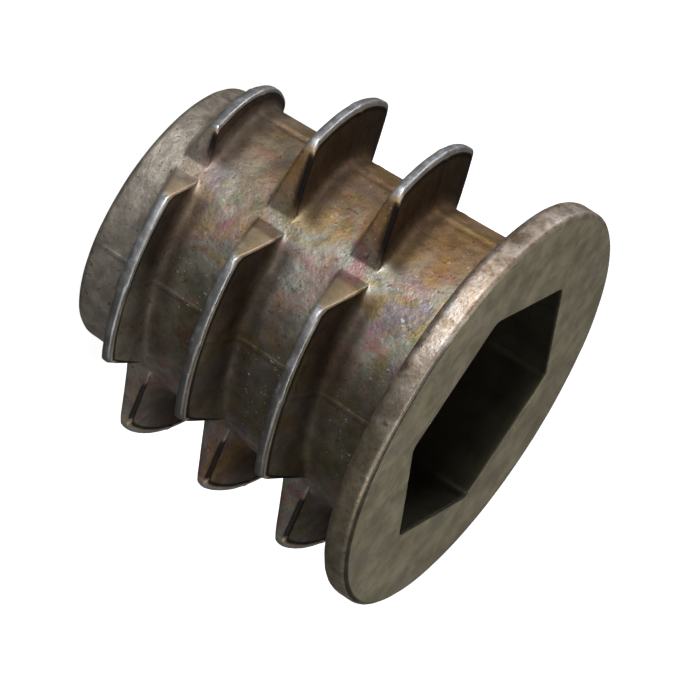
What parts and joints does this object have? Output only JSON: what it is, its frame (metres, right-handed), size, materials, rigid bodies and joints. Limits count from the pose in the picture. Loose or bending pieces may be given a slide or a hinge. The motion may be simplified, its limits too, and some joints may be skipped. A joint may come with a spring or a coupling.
{
  "type": "threaded insert",
  "caption": "Flanged screw-in insert with a hexagonal key socket, a machine-thread bore and a coarse interrupted wood thread.",
  "frame": {"origin": "on the axis, in the plane of the tip end face", "axes": "+Z along the axis from the tip end to the flange face; +X through the gap where the wood thread starts"},
  "size_m": [0.0146, 0.0146, 0.0127],
  "materials": {
    "cast_zinc": "die-cast zinc alloy, worn yellow passivation, dull olive brown with bare grey crests"
  },
  "bodies": {
    "root": {"threaded_insert": "cast_zinc"}
  },
  "joints": []
}
